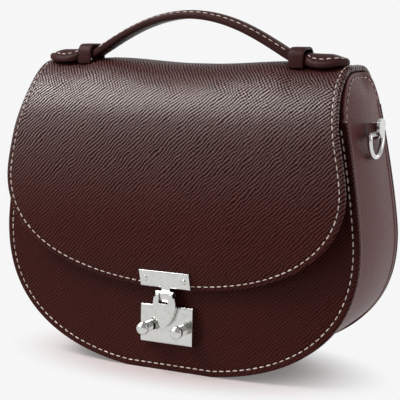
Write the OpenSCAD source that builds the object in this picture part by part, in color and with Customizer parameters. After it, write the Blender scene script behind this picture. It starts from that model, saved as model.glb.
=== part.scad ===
// Saddle shaped crossbody bag in stitched leather: a flap over the mouth, a twin knob lock,
// a top handle whose flared ends slide in two keepers, and a strap ring on each side.
// The origin is on the ground under the middle of the bag. The front faces -Y and +Z is up.

/* [Body] */
// Width of the front and back panels at their widest
body_w = 220; // [200:1:240]
// Height at which the panels are widest
wide_z = 77; // [70:1:84]
// Height of the front panel, where the mouth opens
panel_h = 144; // [138:1:146]
// Depth over the two panels on the ground
base_depth = 74.4; // [70:0.2:80]
// Depth over the two panels at the mouth
mouth_depth = 61; // [58:0.5:64]
// How far each side has drawn in at the height of the crown
side_draw = 15.5; // [12:0.5:16]
// Thickness of the panel leather
panel_t = 2.6; // [2:0.1:3]
// Thickness of the gusset leather
gusset_t = 2.2; // [1.6:0.1:2.6]
// Thickness of the lining
lining_t = 0.8; // [0.6:0.1:1]
// Width of the seam that stands out past the gusset
seam_w = 3.4; // [2.6:0.1:4]

/* [Flap] */
// Height of the flap's top above the front panel
crown_rise = 27.8; // [25:0.2:32]
// Width of the flap over the top
crown_w = 190; // [176:1:198]
// Width of the flap at its widest
flap_w = 208.8; // [202:0.2:212]
// Height at which the flap is widest
flap_wide_z = 107; // [98:1:110]
// Height of the flap's lowest edge
foot_z = 47.5; // [45:0.5:49]
// Thickness of the flap leather
flap_t = 2.2; // [1.8:0.1:2.6]
// Height of the fold along which the flap opens, above the front panel
hinge_rise = 6; // [3:0.5:8]
// Lean of the flap's lower edge towards the front panel, in degrees
foot_tilt = 14; // [8:0.5:16]

/* [Handle] */
// Height of the handle's arch above the crown, to its outside
handle_rise = 29.2; // [22:0.2:36]
// Width of the strap
handle_w = 13; // [11:0.5:15]
// Thickness of the strap
handle_t = 4.6; // [3.6:0.1:5]
// Distance between the two keepers' middles
keeper_span = 132; // [125:1:140]
// Length of a keeper along the strap
keeper_len = 8.4; // [7:0.2:12]
// Room above the strap in a keeper
keeper_room = 1.1; // [0.6:0.1:2]
// Length of a flared handle end past its keeper
end_len = 23.2; // [20:0.2:24]

/* [Lock] */
// Distance from a knob's middle to the side of the lock plate
plate_side = 5.6; // [5.6:0.1:7.6]
// Height of the lock plate
plate_h = 21.5; // [21:0.5:24]
// How far the lock plate's middle lies below the flap's lowest edge
plate_drop = 20.2; // [19.6:0.1:21.4]
// How far the lock plate stands out from the front panel
plate_proud = 4; // [3.8:0.1:4.2]
// Width of the hasp plate on the flap
hasp_plate_w = 31; // [28:0.5:34]
// Height of the hasp plate
hasp_plate_h = 9.8; // [9:0.2:12]
// Width of the hasp
hasp_w = 14; // [13:0.2:14.4]
// Distance between the two knobs
knob_span = 21.2; // [21:0.1:26]
// Diameter of a knob's head
knob_d = 7.2; // [6:0.1:7.4]
// Length of a knob in front of the lock plate
knob_len = 9.8; // [8:0.2:12]
// How far a knob slides towards the other one
knob_travel = 2; // [1:0.1:2]

/* [Strap rings] */
// Outer width of a ring
ring_w = 24; // [20:0.5:26]
// Length of a ring's straight legs, between its bar and its bow
ring_leg = 2; // [1:0.1:3]
// Diameter of the ring's wire
ring_wire_d = 2.8; // [2.4:0.1:3]
// How far the ring's bar lies below the top of the front panel
ring_below = 8; // [7:0.5:16]

/* [Hidden] */
$fn = 48;

// Colours
leather = [0.27, 0.12, 0.13];
gusset_leather = [0.36, 0.22, 0.22];
suede = [0.42, 0.28, 0.25];
board = [0.30, 0.22, 0.18];
nickel = [0.80, 0.80, 0.79];

// Clearances and the overrun of cuts
over = 1;
flat_gap = 0.05;
hinge_gap = 0.3;
soft_gap = 0.3;
slide_gap = 0.15;
pin_gap = 0.05;
screw_gap = 0.05;

// Powers that set how square a curve is
body_power = 2.35;
flap_power = 2.17;
body_draw_power = 1.35;
flap_draw_power = 1.5;
round_steps = 20;
side_steps = 7;
curve_steps = 10;

// How far the round bottom is pressed flat where the bag stands
base_sink = 1.2;

// Heights that follow the front panel, and the lock's middle that follows the flap
crown_z = panel_h + crown_rise;
hinge_z = panel_h + hinge_rise;
ring_z = panel_h - ring_below;
plate_z = foot_z - plate_drop;
plate_w = knob_span + 2 * plate_side;

lean = atan((base_depth - mouth_depth) / 2 / panel_h);

function half_depth(z) = base_depth / 2 - z * tan(lean);

// Half width of the panels above their widest height
function side_half(z) =
    body_w / 2 - side_draw * pow((z - wide_z) / (crown_z - wide_z), body_draw_power);

function mirrored(points) =
    concat(points, [for (i = [len(points) - 1:-1:0]) [-points[i][0], points[i][1]]]);

// Outline of the body seen from the front, drawn in by inset, up to the height top
function body_outline(inset, top) =
    let (a = body_w / 2 - inset, b = wide_z + base_sink - inset,
        start = asin(pow((wide_z - inset) / b, body_power / 2)))
    mirrored(concat(
        [for (i = [0:round_steps]) let (t = start * (1 - i / round_steps))
            [a * pow(cos(t), 2 / body_power), wide_z - b * pow(sin(t), 2 / body_power)]],
        [for (i = [1:side_steps]) let (z = wide_z + (top - wide_z) * i / side_steps)
            [side_half(z) - inset, z]]));

// Outline of the flap seen from the front
flap_start_angle = 88;
function flap_half(z, inset) =
    flap_w / 2 - inset - (flap_w - crown_w) / 2
        * pow(sin(90 * min((z - flap_wide_z) / (crown_z - flap_wide_z), 1)), flap_draw_power);
function flap_outline(inset) =
    let (a = flap_w / 2 - inset, b = flap_wide_z - foot_z - inset, top = crown_z + over)
    mirrored(concat(
        [for (i = [0:round_steps]) let (t = flap_start_angle * (1 - i / round_steps))
            [a * pow(cos(t), 2 / flap_power), flap_wide_z - b * pow(sin(t), 2 / flap_power)]],
        [for (i = [1:side_steps]) let (z = flap_wide_z + (top - flap_wide_z) * i / side_steps)
            [flap_half(z, inset), z]]));

// Points of a cubic curve, without its first point
function curve(a, b, c, d, steps) =
    [for (i = [1:steps]) let (t = i / steps, s = 1 - t)
        s * s * s * a + 3 * s * s * t * b + 3 * s * t * t * c + t * t * t * d];

// Unit normal, to the left of the way a path runs, at its point i
function path_normal(path, i) =
    let (a = path[max(i - 1, 0)], b = path[min(i + 1, len(path) - 1)], d = (b - a) / norm(b - a))
    [-d[1], d[0]];
function beside(path, offset) =
    [for (i = [0:len(path) - 1]) path[i] + offset * path_normal(path, i)];
function ribbon(path, near, far) =
    let (other = beside(path, far))
    concat(beside(path, near), [for (i = [len(path) - 1:-1:0]) other[i]]);

// Side view of the flap's outside, from the fold at the back over the crown to the foot.
// Each curve's middle points are placed by the sizes below.
flap_stack_t = flap_t + lining_t;
hinge_y = half_depth(hinge_z);
back_run = 22.2;
back_rise = 13;
back_reach = 14;
front_run = 35;
front_reach = 16;
front_top_out = 8.7;
front_top_drop = 21.8;
belly_out = 9.9;
belly_drop = 39.8;
belly_run = 14;
foot_gap = 0.8;
foot_straight = 14.5;
foot_run = 12;
belly_z = crown_z - belly_drop;
belly_y = -half_depth(belly_z) - belly_out;
front_top_z = crown_z - front_top_drop;
front_top_y = -half_depth(front_top_z) - front_top_out;
back_shoulder_y = hinge_y - back_run;
front_shoulder_y = belly_y + front_run;
foot_y = -half_depth(foot_z) - flap_stack_t - foot_gap;
belly_dir = [belly_y - front_top_y, belly_z - front_top_z]
    / norm([belly_y - front_top_y, belly_z - front_top_z]);
foot_dir = [sin(foot_tilt), -cos(foot_tilt)];
foot_point = [foot_y, foot_z];
foot_end = foot_point + over * foot_dir;
seat_top = foot_point - foot_straight * foot_dir;
flap_path = concat(
    [[hinge_y, hinge_z + hinge_gap / 2]],
    curve([hinge_y, hinge_z + hinge_gap / 2], [hinge_y, hinge_z + back_rise],
        [back_shoulder_y + back_reach, crown_z], [back_shoulder_y, crown_z], curve_steps),
    [[front_shoulder_y, crown_z]],
    curve([front_shoulder_y, crown_z], [front_shoulder_y - front_reach, crown_z],
        [front_top_y, front_top_z], [belly_y, belly_z], curve_steps),
    curve([belly_y, belly_z], [belly_y, belly_z] + belly_run * belly_dir,
        seat_top - foot_run * foot_dir, seat_top, curve_steps),
    [foot_end]);

// Side view of the gusset's top: a shelf behind the front panel, then the ear under the flap
ear_step = 6.4;
ear_shelf = 3;
ear_spring = 8.5;
ear_round = 13.3;
ear_ease = 1.1;
ear_gap = 0.8;
ear_top_z = crown_z - flap_stack_t - ear_gap;
ear_top_y = -2;
ear_back_drop = 1.2;
ear_back_step = 1.2;
ear_front_y = -half_depth(panel_h) + ear_step;
ear_back_y = half_depth(hinge_z) - panel_t - ear_back_step;
ear_back = beside(flap_path, flap_stack_t + ear_gap);
ear_side = concat(
    [[-base_depth, -over], [-base_depth, panel_h + ear_shelf],
        [ear_front_y, panel_h + ear_shelf]],
    curve([ear_front_y, panel_h + ear_shelf], [ear_front_y, panel_h + ear_spring],
        [ear_top_y - ear_round, ear_top_z - ear_ease], [ear_top_y, ear_top_z], curve_steps),
    [for (i = [curve_steps:-1:1]) ear_back[i]],
    [[ear_back_y, hinge_z - ear_back_drop], [base_depth, hinge_z - ear_back_drop],
        [base_depth, -over]]);

// Stands children on the front panel's outer face, x across, y up the panel, z outwards
module on_front() {
    translate([0, -base_depth / 2, 0]) rotate([90 - lean, 0, 0]) children();
}

// The same on the outer face of the flap, with y measured up from its lowest edge
module on_foot() {
    translate([0, foot_y, foot_z]) rotate([90 + foot_tilt, 0, 0]) children();
}

// A plan drawn in x and z, pushed along Y from one place to another
module along_y(from, to) {
    translate([0, to, 0]) rotate([90, 0, 0]) linear_extrude(to - from) children();
}

// A side view drawn in y and z, pushed along X to both sides of the middle
module along_x(width) {
    translate([-width / 2, 0, 0]) rotate([90, 0, 90]) linear_extrude(width) children();
}

module mirror_x(side) {
    mirror([side < 0 ? 1 : 0, 0, 0]) children();
}

module above_ground() {
    intersection() {
        children();
        translate([-body_w, -body_w, 0]) cube([2 * body_w, 2 * body_w, 2 * body_w]);
    }
}

// The space between the two panels, less a margin behind each
module between_panels(margin) {
    top = crown_z + over;
    along_x(body_w + 2 * over) polygon([
        [-half_depth(0) + margin, 0], [half_depth(0) - margin, 0],
        [half_depth(top) - margin, top], [-half_depth(top) + margin, top]]);
}

// A layer parallel to the front panel: depth behind its outer face, its thickness and outline
module front_layer(depth, thickness, inset, top) {
    above_ground() on_front() translate([0, 0, -depth - thickness])
        linear_extrude(thickness) polygon(body_outline(inset, top));
}

// Lock: places across and up the front panel
screw_r = 1;
screw_side = 3.5;
screw_x = plate_w / 2 - screw_side;
screw_edge = 2.3;
screw_ys = [plate_z - plate_h / 2 + screw_edge, plate_z + plate_h / 2 - screw_edge];
screw_depth = 2.4;
screw_head_r = 1.9;
screw_head_t = 0.8;

module at_screws() {
    for (x = [-screw_x, screw_x], y = screw_ys) translate([x, y, 0]) children();
}

module lock_holes() {
    on_front() translate([0, 0, -panel_t - lining_t - over]) at_screws()
        cylinder(r = screw_r + screw_gap, h = panel_t + lining_t + 2 * over);
}

module front_panel() {
    color(leather) difference() {
        front_layer(0, panel_t, 0, panel_h);
        lock_holes();
    }
}

back_top = hinge_z - hinge_gap / 2;

module back_panel() {
    color(leather) mirror([0, 1, 0]) front_layer(0, panel_t, 0, back_top);
}

// Strap ring's post: a washer on the gusset, an arm, a barrel for the bar and a drop shaped cap
gusset_inset = seam_w + gusset_t;
outline_top = ear_top_z + over;
post_rise = 3;
bolt_rise = 5;
post_z = ring_z + post_rise;
post_x = side_half(post_z) - seam_w;
post_washer_r = 3.6;
post_washer_t = 1.4;
post_bolt_r = 1.5;
post_bolt_z = ring_z + bolt_rise;
ring_stand = 8.7;
ring_x = post_x + ring_stand;
barrel_wall = 1.55;
barrel_r = ring_wire_d / 2 + pin_gap + barrel_wall;
barrel_w = 5;
cap_w = 10;
cap_h = 10.2;
cap_t = 1.7;
cap_low = 2;
cap_stand = 0.3;
cap_x = ring_x + ring_wire_d / 2 + cap_stand;
post_nut_r = 3.6;
post_nut_t = 1.2;

module ring_post_hole(side) {
    mirror_x(side) translate([post_x - gusset_inset - over, 0, post_bolt_z]) rotate([0, 90, 0])
        cylinder(r = post_bolt_r + screw_gap, h = gusset_inset + 2 * over);
}

module gusset() {
    color(gusset_leather) difference() {
        union() {
            intersection() {
                along_y(-base_depth / 2, base_depth / 2) difference() {
                    polygon(body_outline(seam_w, outline_top));
                    polygon(body_outline(gusset_inset, outline_top + over));
                }
                between_panels(panel_t / cos(lean));
                along_x(body_w) polygon(ear_side);
            }
            difference() {
                front_layer(panel_t, gusset_t, 0, panel_h);
                front_layer(panel_t - over, gusset_t + 2 * over, gusset_inset, panel_h + over);
            }
            mirror([0, 1, 0]) difference() {
                front_layer(panel_t, gusset_t, 0, hinge_z - ear_back_drop);
                front_layer(panel_t - over, gusset_t + 2 * over, gusset_inset, hinge_z + over);
            }
        }
        for (side = [-1, 1]) ring_post_hole(side);
    }
}

lining_inset = gusset_inset + soft_gap;

module front_lining() {
    color(suede) difference() {
        front_layer(panel_t, lining_t, lining_inset, panel_h);
        lock_holes();
    }
}

module back_lining() {
    color(suede) mirror([0, 1, 0])
        front_layer(panel_t, lining_t, lining_inset, hinge_z - ear_back_drop);
}

module gusset_lining() {
    color(suede) difference() {
        intersection() {
            along_y(-base_depth / 2, base_depth / 2) difference() {
                polygon(body_outline(lining_inset, outline_top));
                polygon(body_outline(lining_inset + lining_t, outline_top + over));
            }
            between_panels((panel_t + lining_t) / cos(lean) + flat_gap);
            along_x(body_w) translate([0, -lining_t]) polygon(ear_side);
        }
        for (side = [-1, 1]) ring_post_hole(side);
    }
}

board_t = 1.4;
board_w = 104;

module base_board() {
    inset = lining_inset + lining_t + soft_gap;
    color(board) intersection() {
        along_y(-base_depth / 2, base_depth / 2) difference() {
            polygon(body_outline(inset, wide_z + over));
            polygon(body_outline(inset + board_t, wide_z + 2 * over));
        }
        between_panels((panel_t + lining_t) / cos(lean) + 2 * soft_gap);
        translate([-board_w / 2, -base_depth / 2, 0]) cube([board_w, base_depth, wide_z / 2]);
    }
}

// Lock plate: a shallow box whose open back lies on the panel. The jaws slide inside it.
plate_face_t = 1.4;
cavity_depth = plate_proud - plate_face_t;
plate_bevel = 0.9;
lug_w = 4.4;
lug_h = 3.4;
lug_rise = 2;
lug_gap = 0.5;
lug_swing = 1.1;
lug_lift = 3.5;
lug_low = plate_z + lug_rise;
window_w = lug_w + 2 * lug_gap;
window_low = lug_low - lug_swing;
window_high = lug_low + lug_h + lug_lift;
stem_r = 1.8;
stem_drop = 1.7;
stem_y = plate_z - stem_drop;
jaw_bar_h = 3.2;
jaw_end = 2.4;
jaw_room = 1.5;
jaw_nose_w = 1.8;
jaw_nose_rise = 0.3;
jaw_nose_top = lug_low + lug_h + jaw_nose_rise;
cavity_w = knob_span + 2 * (jaw_end + jaw_room);
cavity_low = stem_y - jaw_bar_h / 2 - jaw_room - jaw_nose_rise;
cavity_high = jaw_nose_top + jaw_room / 2 + jaw_nose_rise;

module bevelled_plate(w, h, t, bevel) {
    intersection() {
        linear_extrude(t) square([w, h], center = true);
        translate([-w / 2, 0, 0]) rotate([90, 0, 90]) linear_extrude(w) polygon([
            [-h / 2, 0], [h / 2, 0], [h / 2, t - bevel / 2], [h / 2 - bevel, t],
            [-h / 2 + bevel, t], [-h / 2, t - bevel / 2]]);
    }
}

module stem_slot() {
    travel = knob_travel;
    translate([-knob_span / 2, stem_y, cavity_depth - over]) {
        cylinder(r = stem_r + slide_gap, h = plate_proud);
        translate([travel, 0, 0]) cylinder(r = stem_r + slide_gap, h = plate_proud);
        translate([0, -stem_r - slide_gap, 0])
            cube([travel, 2 * (stem_r + slide_gap), plate_proud]);
    }
}

module lock_plate() {
    color(nickel) on_front() difference() {
        translate([0, plate_z, 0]) bevelled_plate(plate_w, plate_h, plate_proud, plate_bevel);
        translate([-cavity_w / 2, cavity_low, -over])
            cube([cavity_w, cavity_high - cavity_low, cavity_depth + over]);
        translate([-window_w / 2, window_low, 0])
            cube([window_w, window_high - window_low, plate_proud + over]);
        for (side = [-1, 1]) mirror_x(side) stem_slot();
        translate([0, 0, -over]) at_screws()
            cylinder(r = screw_r + screw_gap, h = screw_depth + over);
    }
}

back_plate_rim = 1.5;
back_plate_w = plate_w - 2 * back_plate_rim;
back_plate_h = plate_h - back_plate_rim / 2;
back_plate_t = 1.2;

module lock_back_plate() {
    depth = panel_t + lining_t + back_plate_t;
    color(nickel) on_front() difference() {
        translate([-back_plate_w / 2, plate_z - back_plate_h / 2, -depth])
            cube([back_plate_w, back_plate_h, back_plate_t]);
        translate([0, 0, -depth - over]) at_screws()
            cylinder(r = screw_r + screw_gap, h = back_plate_t + 2 * over);
    }
}

module lock_screws() {
    depth = panel_t + lining_t + back_plate_t;
    color(nickel) on_front() at_screws() {
        translate([0, 0, -depth]) cylinder(r = screw_r, h = depth + screw_depth - slide_gap);
        translate([0, 0, -depth - screw_head_t]) cylinder(r = screw_head_r, h = screw_head_t);
    }
}

// Jaws: the left knob's jaw lies behind the right one's and hooks round the lug's far side
jaw_t = (cavity_depth - 3 * slide_gap) / 2;

function jaw_base(side) = slide_gap + (side < 0 ? 0 : jaw_t + slide_gap);

module jaw(side) {
    low = stem_y - jaw_bar_h / 2;
    nose_x = lug_w / 2 + lug_gap;
    color(nickel) on_front() mirror_x(-side) translate([0, 0, jaw_base(side)]) {
        translate([-knob_span / 2 - jaw_end, low, 0])
            cube([knob_span / 2 + jaw_end + nose_x + jaw_nose_w, jaw_bar_h, jaw_t]);
        translate([nose_x, low, 0]) cube([jaw_nose_w, jaw_nose_top - low, jaw_t]);
    }
}

module left_jaw() { jaw(-1); }
module right_jaw() { jaw(1); }

// A turned knob: stem through the plate, grooved neck and a domed head
neck_r = 2.5;
ridge_r = 3;
ridge_count = 3;
ridge_pitch = 1.7;
head_t = 2.6;
head_dome = 0.9;
dome_steps = 6;

module knob(side) {
    foot = jaw_base(side) + jaw_t;
    start = plate_proud + slide_gap;
    head = plate_proud + knob_len - head_t - head_dome;
    head_r = knob_d / 2;
    color(nickel) on_front() translate([side * knob_span / 2, stem_y, 0]) rotate_extrude()
        polygon(concat(
            [[0, foot], [stem_r, foot], [stem_r, start]],
            [for (i = [0:ridge_count - 1], p = [[ridge_r, 0], [ridge_r, 0.5], [neck_r, 0.5],
                [neck_r, 1]]) [p[0], start + (i + p[1]) * ridge_pitch]],
            [[neck_r, head], [head_r, head], [head_r, head + head_t]],
            [for (i = [1:dome_steps]) let (t = 90 * i / dome_steps)
                [head_r * cos(t), head + head_t + head_dome * sin(t)]]));
}

module left_knob() { knob(-1); }
module right_knob() { knob(1); }

// Hasp plate on the flap, its rivets and the plate behind it
rivet_side = 3.3;
rivet_x = hasp_plate_w / 2 - rivet_side;
rivet_r = 1;
rivet_head_r = 1.7;
rivet_head_h = 0.6;
hasp_plate_t = 1.5;
hasp_plate_low = 1.6;
hasp_plate_y = hasp_plate_low + hasp_plate_h / 2;
knuckle_r = 1.9;
knuckle_w = 5.4;
knuckle_y = -1.6;
knuckle_out = 2.3;
pin_r = 0.8;
knuckle_gap = 0.25;
window_drop = 5.2;
tongue_gap = 0.7;
tongue_drop = window_drop - tongue_gap;
tongue_t = 2.6;

module at_rivets() {
    for (x = [-rivet_x, rivet_x]) translate([x, hasp_plate_y, 0]) children();
}

module rivet_holes() {
    on_foot() translate([0, 0, -flap_stack_t - back_plate_t - over]) at_rivets()
        cylinder(r = rivet_r + screw_gap, h = flap_stack_t + back_plate_t + hasp_plate_t + 2 * over);
}

module hasp_plate() {
    color(nickel) difference() {
        on_foot() {
            translate([0, hasp_plate_y, 0])
                bevelled_plate(hasp_plate_w, hasp_plate_h, hasp_plate_t, hasp_plate_t / 2);
            difference() {
                union() {
                    translate([-knuckle_w / 2, knuckle_y, 0])
                        cube([knuckle_w, hasp_plate_low - knuckle_y + over, hasp_plate_t]);
                    translate([-knuckle_w / 2, knuckle_y, knuckle_out]) rotate([0, 90, 0])
                        cylinder(r = knuckle_r, h = knuckle_w);
                    intersection() {
                        translate([-knuckle_w / 2, knuckle_y - tongue_drop,
                            knuckle_out + knuckle_r - tongue_t])
                            cube([knuckle_w, tongue_drop, tongue_t]);
                        translate([-knuckle_w, knuckle_y, knuckle_out]) rotate([0, 90, 0])
                            cylinder(r = tongue_drop, h = 2 * knuckle_w);
                    }
                }
                translate([-knuckle_w, knuckle_y, knuckle_out]) rotate([0, 90, 0])
                    cylinder(r = pin_r + pin_gap, h = 2 * knuckle_w);
            }
        }
        rivet_holes();
    }
}

hasp_back_rim = 1;
hasp_back_w = hasp_plate_w - 2 * hasp_back_rim;
hasp_back_h = hasp_plate_h - 2 * hasp_back_rim;

module hasp_back_plate() {
    color(nickel) difference() {
        on_foot() translate([-hasp_back_w / 2, hasp_plate_y - hasp_back_h / 2,
            -flap_stack_t - back_plate_t]) cube([hasp_back_w, hasp_back_h, back_plate_t]);
        rivet_holes();
    }
}

module hasp_rivets() {
    back = flap_stack_t + back_plate_t;
    color(nickel) on_foot() at_rivets() {
        translate([0, 0, -back]) cylinder(r = rivet_r, h = back + hasp_plate_t);
        translate([0, 0, hasp_plate_t]) cylinder(r1 = rivet_head_r, r2 = rivet_r, h = rivet_head_h);
    }
}

// Hasp: a domed shield that hangs from its pin in front of the lock plate, with a lug behind it.
// It is drawn in the panel's own frame, so the pin's place is carried over from the flap's.
pin_y = foot_y - knuckle_y * sin(foot_tilt) - knuckle_out * cos(foot_tilt);
pin_z = foot_z + knuckle_y * cos(foot_tilt) - knuckle_out * sin(foot_tilt);
hasp_up = (pin_z - (pin_y + base_depth / 2) * -tan(lean)) * cos(lean);
hasp_out = -(pin_y + base_depth / 2) * cos(lean) + pin_z * sin(lean);
hasp_tip_drop = 0.9;
hasp_low = plate_z - hasp_tip_drop;
hasp_gap = 0.4;
hasp_t = 2.6;
hasp_dome = 1.3;
hasp_shoulder = 5;
hasp_tip_r = 1.2;
ear_w = 2.4;
ear_r = 1.75;
lug_end = 0.5;

prong_x = knuckle_w / 2 + knuckle_gap + ear_w;

function hasp_shape() =
    let (half = hasp_w / 2, shoulder = hasp_up - hasp_shoulder, run = shoulder - hasp_low)
    mirrored(concat(
        [[hasp_tip_r, hasp_low]],
        curve([hasp_tip_r, hasp_low], [half / 2, hasp_low + run / 6],
            [half, shoulder - run / 2], [half, shoulder], curve_steps),
        [[half - hasp_shoulder / 8, hasp_up - ear_r], [prong_x, hasp_up - ear_r],
            [prong_x, hasp_up]]));

module hasp() {
    back = plate_proud + hasp_gap;
    half = hasp_w / 2;
    dome_r = (half * half + hasp_dome * hasp_dome) / (2 * hasp_dome);
    notch_w = knuckle_w + 2 * knuckle_gap;
    color(nickel) on_front() difference() {
        union() {
            intersection() {
                translate([0, 0, back]) linear_extrude(hasp_t + hasp_dome) polygon(hasp_shape());
                translate([0, 0, back + hasp_t + hasp_dome - dome_r]) rotate([-90, 0, 0])
                    cylinder(r = dome_r, h = 2 * hasp_up, $fn = 96);
            }
            for (side = [-1, 1]) mirror_x(side)
                translate([notch_w / 2, hasp_up, hasp_out]) rotate([0, 90, 0])
                    cylinder(r = ear_r, h = ear_w);
            translate([-lug_w / 2, lug_low, lug_end])
                cube([lug_w, lug_h, back - lug_end + hasp_t / 2]);
        }
        translate([-notch_w / 2, hasp_up - window_drop, 0])
            cube([notch_w, window_drop + 2 * knuckle_r, back + 2 * hasp_t]);
        translate([-hasp_w, hasp_up, hasp_out]) rotate([0, 90, 0])
            cylinder(r = pin_r, h = 2 * hasp_w);
    }
}

module hasp_pin() {
    length = knuckle_w + 2 * knuckle_gap + 2 * ear_w;
    color(nickel) on_front() translate([-length / 2, hasp_up, hasp_out]) rotate([0, 90, 0])
        cylinder(r = pin_r, h = length);
}

module flap() {
    color(leather) difference() {
        intersection() {
            along_x(body_w) polygon(ribbon(flap_path, 0, flap_t));
            along_y(-base_depth, base_depth) polygon(flap_outline(0));
        }
        rivet_holes();
    }
}

module flap_lining() {
    color(suede) difference() {
        intersection() {
            along_x(body_w) polygon(ribbon(flap_path, flap_t, flap_stack_t));
            along_y(-base_depth, base_depth) polygon(flap_outline(lining_t));
        }
        rivet_holes();
    }
}

// Handle: its strap runs along X near the front of the crown's flat
handle_front = 2;
handle_y = front_shoulder_y - handle_front;
keeper_t = 1.6;
keeper_x = keeper_span / 2;
end_x0 = keeper_x - keeper_len / 2 - 0.7 * soft_gap;
end_flare = keeper_x + keeper_len / 2 + soft_gap;
end_tip = keeper_x + keeper_len / 2 + end_len;
strap_low = crown_z + soft_gap + handle_t / 2;
strap_rise = 2.2;
neck_rise = 0.4;
keeper_h = soft_gap + handle_t + strap_rise + keeper_room + keeper_t;
keeper_leg = 6;
strap_foot = strap_low + strap_rise;
arch_top = crown_z + handle_rise - handle_t / 2;
arch_reach = 27;
arch_foot_run = 14;
arch_foot_rise = 7.7;
flare_w = 5;
flare_start = 4.4;

// A band over the strap, whose legs end on the flap
module keeper(side) {
    inner_w = handle_w + 2 * soft_gap;
    color(leather) difference() {
        mirror_x(side) translate([keeper_x, handle_y, crown_z - keeper_leg]) rotate([90, 0, 90])
            translate([0, 0, -keeper_len / 2]) linear_extrude(keeper_len) difference() {
                translate([-inner_w / 2 - keeper_t, 0])
                    square([inner_w + 2 * keeper_t, keeper_h + keeper_leg]);
                translate([-inner_w / 2, -over])
                    square([inner_w, keeper_h + keeper_leg - keeper_t + over]);
            }
        along_x(body_w) polygon(beside(flap_path, -flat_gap));
    }
}

module left_keeper() { keeper(-1); }
module right_keeper() { keeper(1); }

module handle_arch() {
    half = concat([[0, arch_top]], curve([0, arch_top], [arch_reach, arch_top],
        [end_x0 - arch_foot_run, strap_foot + arch_foot_rise], [end_x0, strap_foot], curve_steps));
    path = concat([for (i = [len(half) - 1:-1:1]) [-half[i][0], half[i][1]]], half);
    color(leather) intersection() {
        along_y(handle_y - handle_w / 2, handle_y + handle_w / 2)
            polygon(ribbon(path, -handle_t / 2, handle_t / 2));
        translate([-end_x0, handle_y - handle_w, 0])
            cube([2 * end_x0, 2 * handle_w, crown_z + 2 * handle_rise]);
    }
}

module handle_end(side) {
    path = concat([[end_x0, strap_foot]], curve([end_x0, strap_foot],
        [end_x0 + keeper_len * 0.6, strap_low + neck_rise], [end_flare, strap_low],
        [end_tip, strap_low], curve_steps));
    flare = curve([end_flare, handle_w / 2], [end_flare + flare_start, handle_w / 2 + flare_w],
        [end_tip - flare_start / 4, handle_w / 2 + flare_w], [end_tip, 0], curve_steps);
    plan = concat([[end_x0, handle_w / 2], [end_flare, handle_w / 2]], flare);
    color(leather) mirror_x(side) intersection() {
        along_y(handle_y - handle_w, handle_y + handle_w)
            polygon(ribbon(path, -handle_t / 2, handle_t / 2));
        translate([0, handle_y, crown_z]) linear_extrude(handle_rise)
            polygon(concat(plan, [for (i = [len(plan) - 2:-1:0]) [plan[i][0], -plan[i][1]]]));
    }
}

module left_handle_end() { handle_end(-1); }
module right_handle_end() { handle_end(1); }

module ring_post(side) {
    color(nickel) mirror_x(side) difference() {
        union() {
            intersection() {
                translate([post_x - post_washer_t, 0, post_bolt_z]) rotate([0, 90, 0])
                    cylinder(r = post_washer_r, h = 2 * post_washer_t);
                difference() {
                    along_y(-post_washer_r, post_washer_r)
                        polygon(body_outline(seam_w - post_washer_t, outline_top));
                    along_y(-2 * post_washer_r, 2 * post_washer_r)
                        polygon(body_outline(seam_w, outline_top));
                }
            }
            translate([post_x, -barrel_w / 2, ring_z])
                cube([cap_x - post_x + cap_t / 2, barrel_w, barrel_r * 2]);
            translate([ring_x, barrel_w / 2, ring_z]) rotate([90, 0, 0])
                cylinder(r = barrel_r, h = barrel_w);
            translate([cap_x, 0, ring_z - cap_low]) rotate([90, 0, 90]) linear_extrude(cap_t)
                polygon(mirrored(concat([[cap_w / 10, 0]],
                    curve([cap_w / 10, 0], [cap_w / 3, cap_h / 8], [cap_w / 2, cap_h / 3],
                        [cap_w / 2, cap_h * 0.6], curve_steps),
                    curve([cap_w / 2, cap_h * 0.6], [cap_w / 2, cap_h * 0.85],
                        [cap_w * 0.3, cap_h], [cap_w / 10, cap_h], curve_steps))));
        }
        translate([ring_x, barrel_w, ring_z]) rotate([90, 0, 0])
            cylinder(r = ring_wire_d / 2 + pin_gap, h = 2 * barrel_w);
        along_y(-base_depth, base_depth) polygon(body_outline(seam_w, outline_top));
    }
}

module left_ring_post() { ring_post(-1); }
module right_ring_post() { ring_post(1); }

module ring_screws() {
    color(nickel) for (side = [-1, 1]) mirror_x(side) difference() {
        union() {
            translate([post_x - gusset_inset, 0, post_bolt_z]) rotate([0, 90, 0])
                cylinder(r = post_bolt_r, h = gusset_inset + over);
            translate([post_x - gusset_inset - post_nut_t, 0, post_bolt_z]) rotate([0, 90, 0])
                cylinder(r = post_nut_r, h = post_nut_t);
        }
        difference() {
            along_y(-post_washer_r, post_washer_r) polygon(body_outline(0, outline_top + over));
            along_y(-base_depth, base_depth) polygon(body_outline(seam_w, outline_top));
        }
    }
}

// A strap ring: straight bar through the post's barrel, two short legs and a round bow
module ring(side) {
    wire_r = ring_wire_d / 2;
    bow_r = ring_w / 2 - wire_r;
    color(nickel) mirror_x(side) translate([ring_x, 0, ring_z]) {
        translate([0, bow_r, 0]) rotate([90, 0, 0]) cylinder(r = wire_r, h = 2 * bow_r);
        for (y = [-bow_r, bow_r]) translate([0, y, 0]) {
            sphere(r = wire_r);
            translate([0, 0, -ring_leg]) cylinder(r = wire_r, h = ring_leg);
        }
        translate([0, 0, -ring_leg]) rotate([0, 90, 0]) rotate([0, 0, -90]) rotate_extrude(angle = 180)
            translate([bow_r, 0]) circle(r = wire_r);
    }
}

module left_ring() { ring(-1); }
module right_ring() { ring(1); }

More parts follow.
